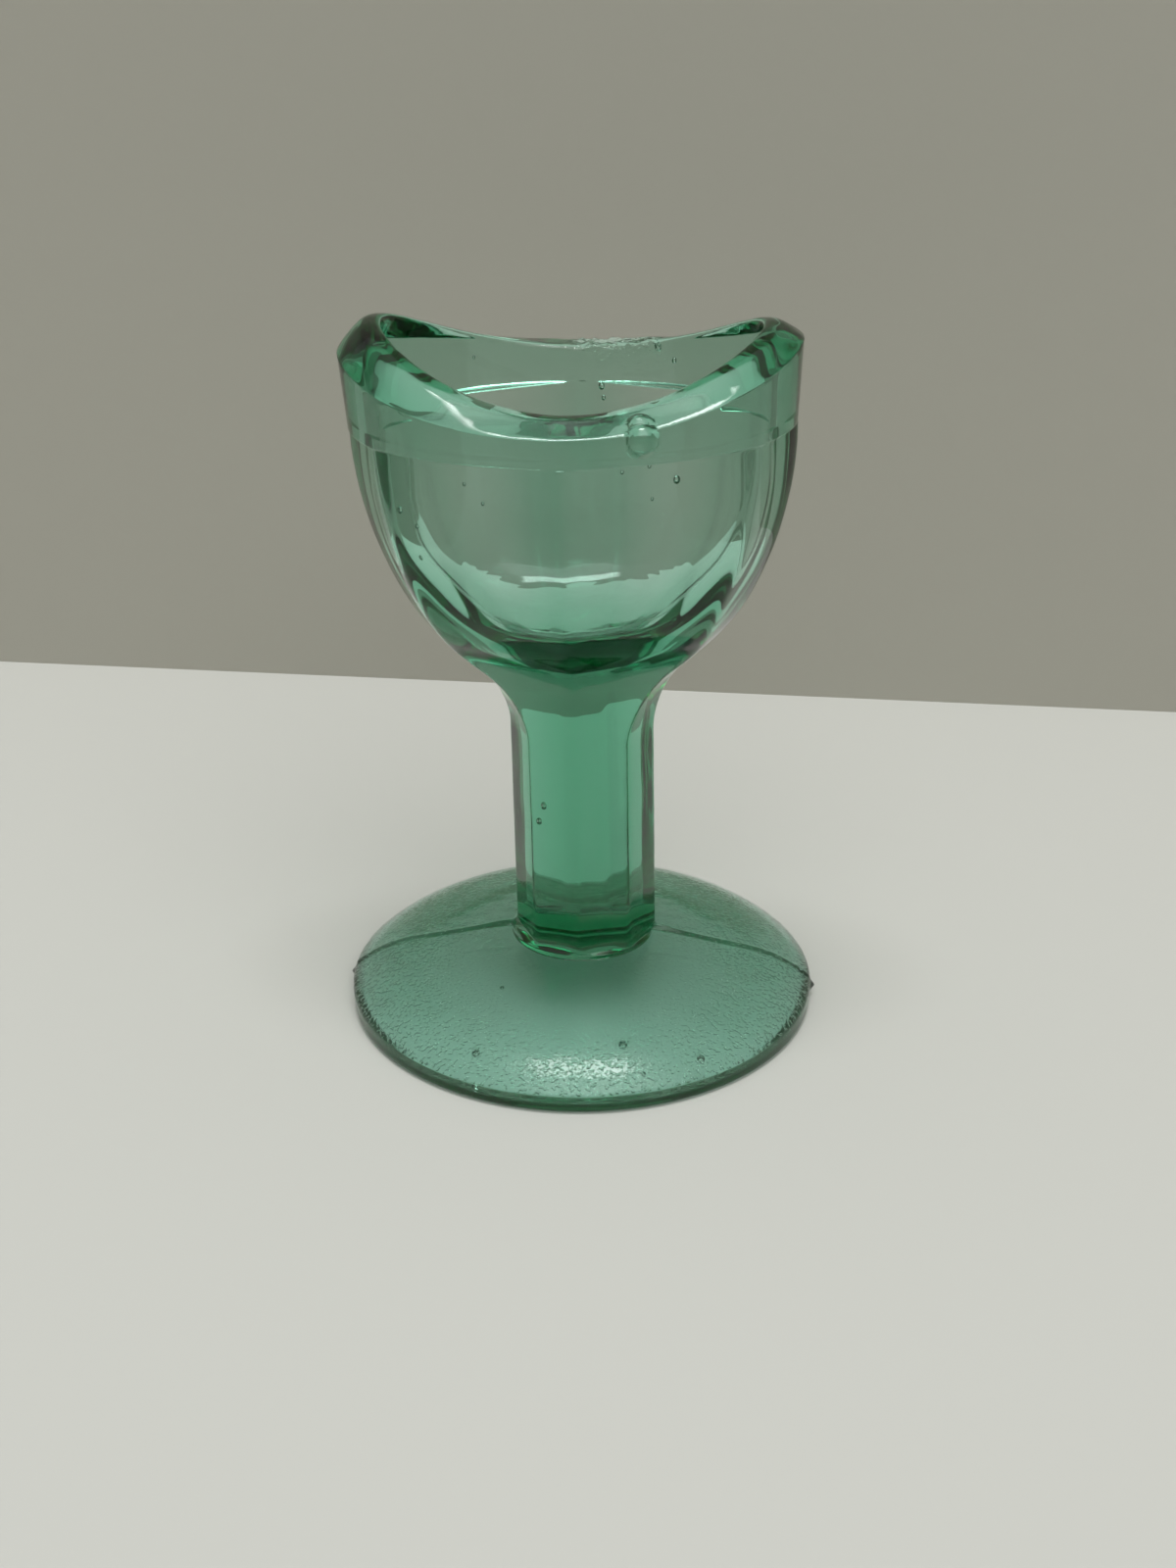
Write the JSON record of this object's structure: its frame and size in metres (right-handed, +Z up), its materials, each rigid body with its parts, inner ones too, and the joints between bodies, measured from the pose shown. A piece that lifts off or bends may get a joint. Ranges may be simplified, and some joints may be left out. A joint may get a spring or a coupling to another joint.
{
  "type": "eye bath",
  "caption": "Pedestal eye bath in pressed green glass: a dipped oval cup that fits over the eye, a panelled stem and a round hollow foot.",
  "frame": {"origin": "centre of the foot in the resting plane", "axes": "+Z up the stem, +X along the long axis of the oval bowl, -Y to the front dip of the rim"},
  "size_m": [0.045, 0.044, 0.066],
  "materials": {
    "glass": "fire-polished, clear green"
  },
  "bodies": {
    "root": {"foot": "glass", "stem": "glass", "bowl": "glass", "rim": "glass"}
  },
  "joints": []
}
